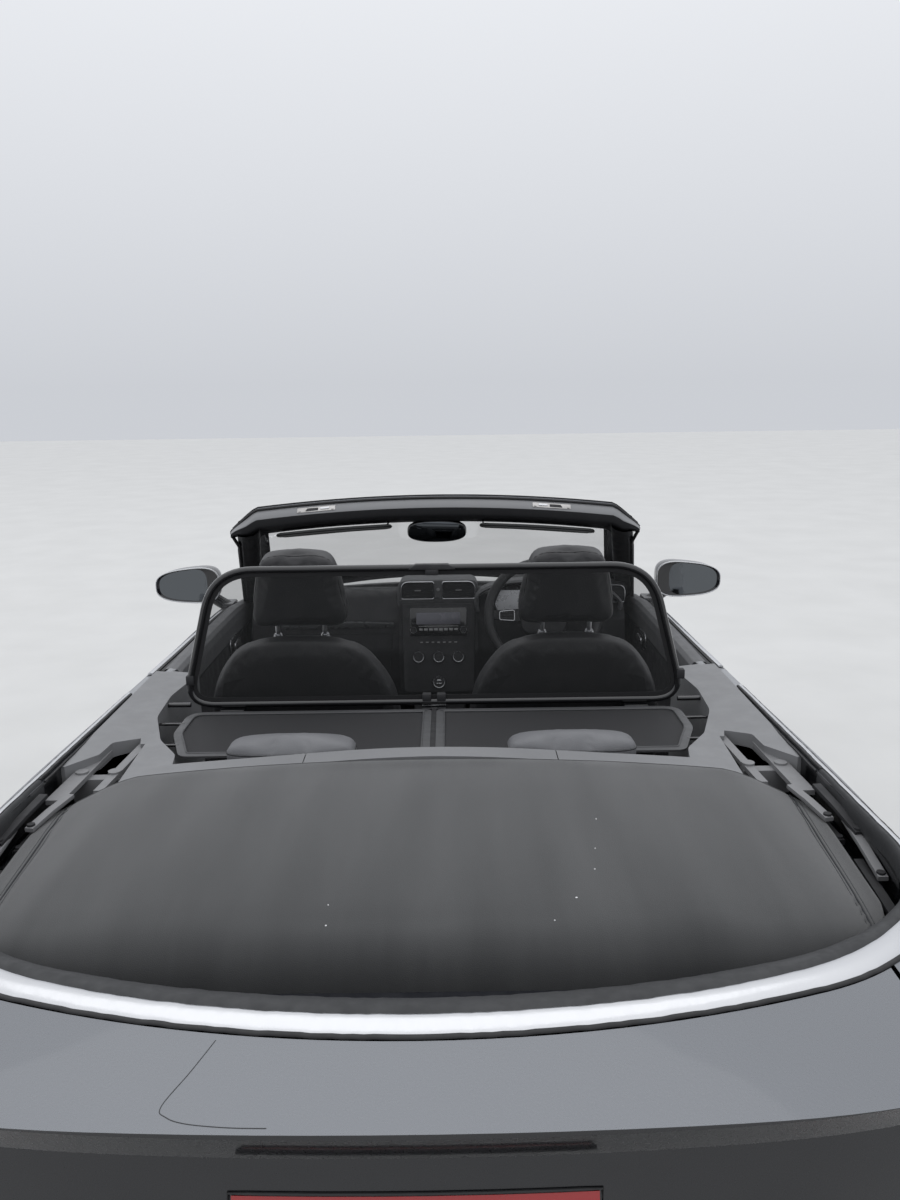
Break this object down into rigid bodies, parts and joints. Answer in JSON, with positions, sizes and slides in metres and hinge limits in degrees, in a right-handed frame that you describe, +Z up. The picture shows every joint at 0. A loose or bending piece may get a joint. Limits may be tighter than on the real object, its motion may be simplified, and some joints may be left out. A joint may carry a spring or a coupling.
{
  "type": "convertible car",
  "caption": "Open two-door car with its fabric top folded behind the rear seats, a mesh wind screen standing behind the front seats and its side windows down.",
  "frame": {"origin": "on the ground under the middle of the overall box", "axes": "+Y to the rear of the car, +X to its left side, +Z up"},
  "size_m": [2.029, 4.246, 1.3893],
  "materials": {
    "car_paint": "gloss metallic",
    "black_trim": "matte",
    "gloss_black": "gloss",
    "lamp_glass": "clear",
    "red_lamp": "gloss",
    "satin_metal": "satin",
    "screen_glass": "clear",
    "steel": "matte",
    "bright_steel": "brushed",
    "cast": "rough",
    "grey_leather": "satin",
    "dark_leather": "satin",
    "grey_trim": "satin",
    "net_cloth": "woven",
    "roof_cloth": "woven",
    "tyre": "matte",
    "alloy": "satin"
  },
  "bodies": {
    "car_body": {"front_wings": "car_paint", "cowl_panel": "black_trim", "front_bumper": "car_paint", "grille": "black_trim", "headlamps": "lamp_glass", "sills": "car_paint", "rear_quarters": "car_paint", "tail_lamps": "red_lamp", "rear_bumper": "car_paint", "belt_strip": "satin_metal", "wheel_arch_liners": "black_trim", "windscreen_frame": "car_paint", "windscreen": "screen_glass", "floor_pan": "steel", "rear_beam": "steel", "bulkheads": "steel", "front_legs": "steel", "fuel_tank": "black_trim", "engine_block": "cast", "rear_bench": "grey_leather", "rear_headrests": "grey_leather", "centre_console": "black_trim", "rear_backrest": "grey_leather", "front_seat_bases": "dark_leather", "front_seat_backs": "dark_leather", "front_headrests": "dark_leather", "seat_rails": "steel", "dashboard": "black_trim", "steering_column": "black_trim", "header_fittings": "black_trim", "rear_side_trims": "grey_trim", "rear_trim_rail": "grey_trim", "deflector_lower": "net_cloth", "folded_roof": "roof_cloth", "roof_linkage": "satin_metal", "front_subframe": "steel", "rear_axle": "steel", "exhaust": "bright_steel"},
    "door_left_body": {"door_left": "car_paint", "mirror_left": "gloss_black"},
    "door_right_body": {"door_right": "car_paint", "mirror_right": "gloss_black"},
    "bonnet_body": {"bonnet": "car_paint"},
    "lid_body": {"boot_lid": "car_paint", "lid_lamps": "red_lamp"},
    "deflector_body": {"deflector_screen": "net_cloth"},
    "steering_wheel_body": {"steering_wheel": "dark_leather"},
    "knuckle_left_body": {"knuckle_left": "cast"},
    "knuckle_right_body": {"knuckle_right": "cast"},
    "wheel_front_left": {"tyre_front_left": "tyre", "rim_front_left": "alloy"},
    "wheel_front_right": {"tyre_front_right": "tyre", "rim_front_right": "alloy"},
    "wheel_rear_left": {"tyre_rear_left": "tyre", "rim_rear_left": "alloy"},
    "wheel_rear_right": {"tyre_rear_right": "tyre", "rim_rear_right": "alloy"}
  },
  "joints": [
    {"name": "steer_left", "type": "hinge", "parent": "car_body", "child": "knuckle_left_body", "pos_m": [0.722, -1.243, 0.317], "axis": [0, 0, 1], "range_deg": [-35, 35]},
    {"name": "steer_right", "type": "hinge", "parent": "car_body", "child": "knuckle_right_body", "pos_m": [-0.722, -1.243, 0.317], "axis": [0, 0, 1], "range_deg": [-35, 35]},
    {"name": "steering_wheel_turn", "type": "hinge", "parent": "car_body", "child": "steering_wheel_body", "pos_m": [-0.357, -0.33, 0.96], "axis": [0, 0.9135, 0.4067], "range_deg": [-525, 525]},
    {"name": "door_left_hinge", "type": "hinge", "parent": "car_body", "child": "door_left_body", "pos_m": [0.886, -0.741, 0.6], "axis": [0, 0, 1], "range_deg": [-65, 0]},
    {"name": "door_right_hinge", "type": "hinge", "parent": "car_body", "child": "door_right_body", "pos_m": [-0.886, -0.741, 0.6], "axis": [0, 0, 1], "range_deg": [0, 65]},
    {"name": "bonnet_hinge", "type": "hinge", "parent": "car_body", "child": "bonnet_body", "pos_m": [0, -0.897, 0.93], "axis": [1, 0, 0], "range_deg": [-50, 0]},
    {"name": "lid_hinge", "type": "hinge", "parent": "car_body", "child": "lid_body", "pos_m": [0, 1.69, 0.985], "axis": [1, 0, 0], "range_deg": [0, 75]},
    {"name": "deflector_hinge", "type": "hinge", "parent": "car_body", "child": "deflector_body", "pos_m": [0, 0.555, 0.957], "axis": [1, 0, 0], "range_deg": [-70, 0]},
    {"name": "wheel_front_left_spin", "type": "hinge", "parent": "knuckle_left_body", "child": "wheel_front_left", "pos_m": [0.768, -1.243, 0.317], "axis": [1, 0, 0], "continuous": true},
    {"name": "wheel_front_right_spin", "type": "hinge", "parent": "knuckle_right_body", "child": "wheel_front_right", "pos_m": [-0.768, -1.243, 0.317], "axis": [1, 0, 0], "continuous": true},
    {"name": "wheel_rear_left_spin", "type": "hinge", "parent": "car_body", "child": "wheel_rear_left", "pos_m": [0.755, 1.335, 0.317], "axis": [1, 0, 0], "continuous": true},
    {"name": "wheel_rear_right_spin", "type": "hinge", "parent": "car_body", "child": "wheel_rear_right", "pos_m": [-0.755, 1.335, 0.317], "axis": [1, 0, 0], "continuous": true}
  ],
  "couplings": [
    {"joint": "steer_right", "follows": "steer_left", "ratio": 1},
    {"joint": "steering_wheel_turn", "follows": "steer_left", "ratio": 14.9}
  ]
}
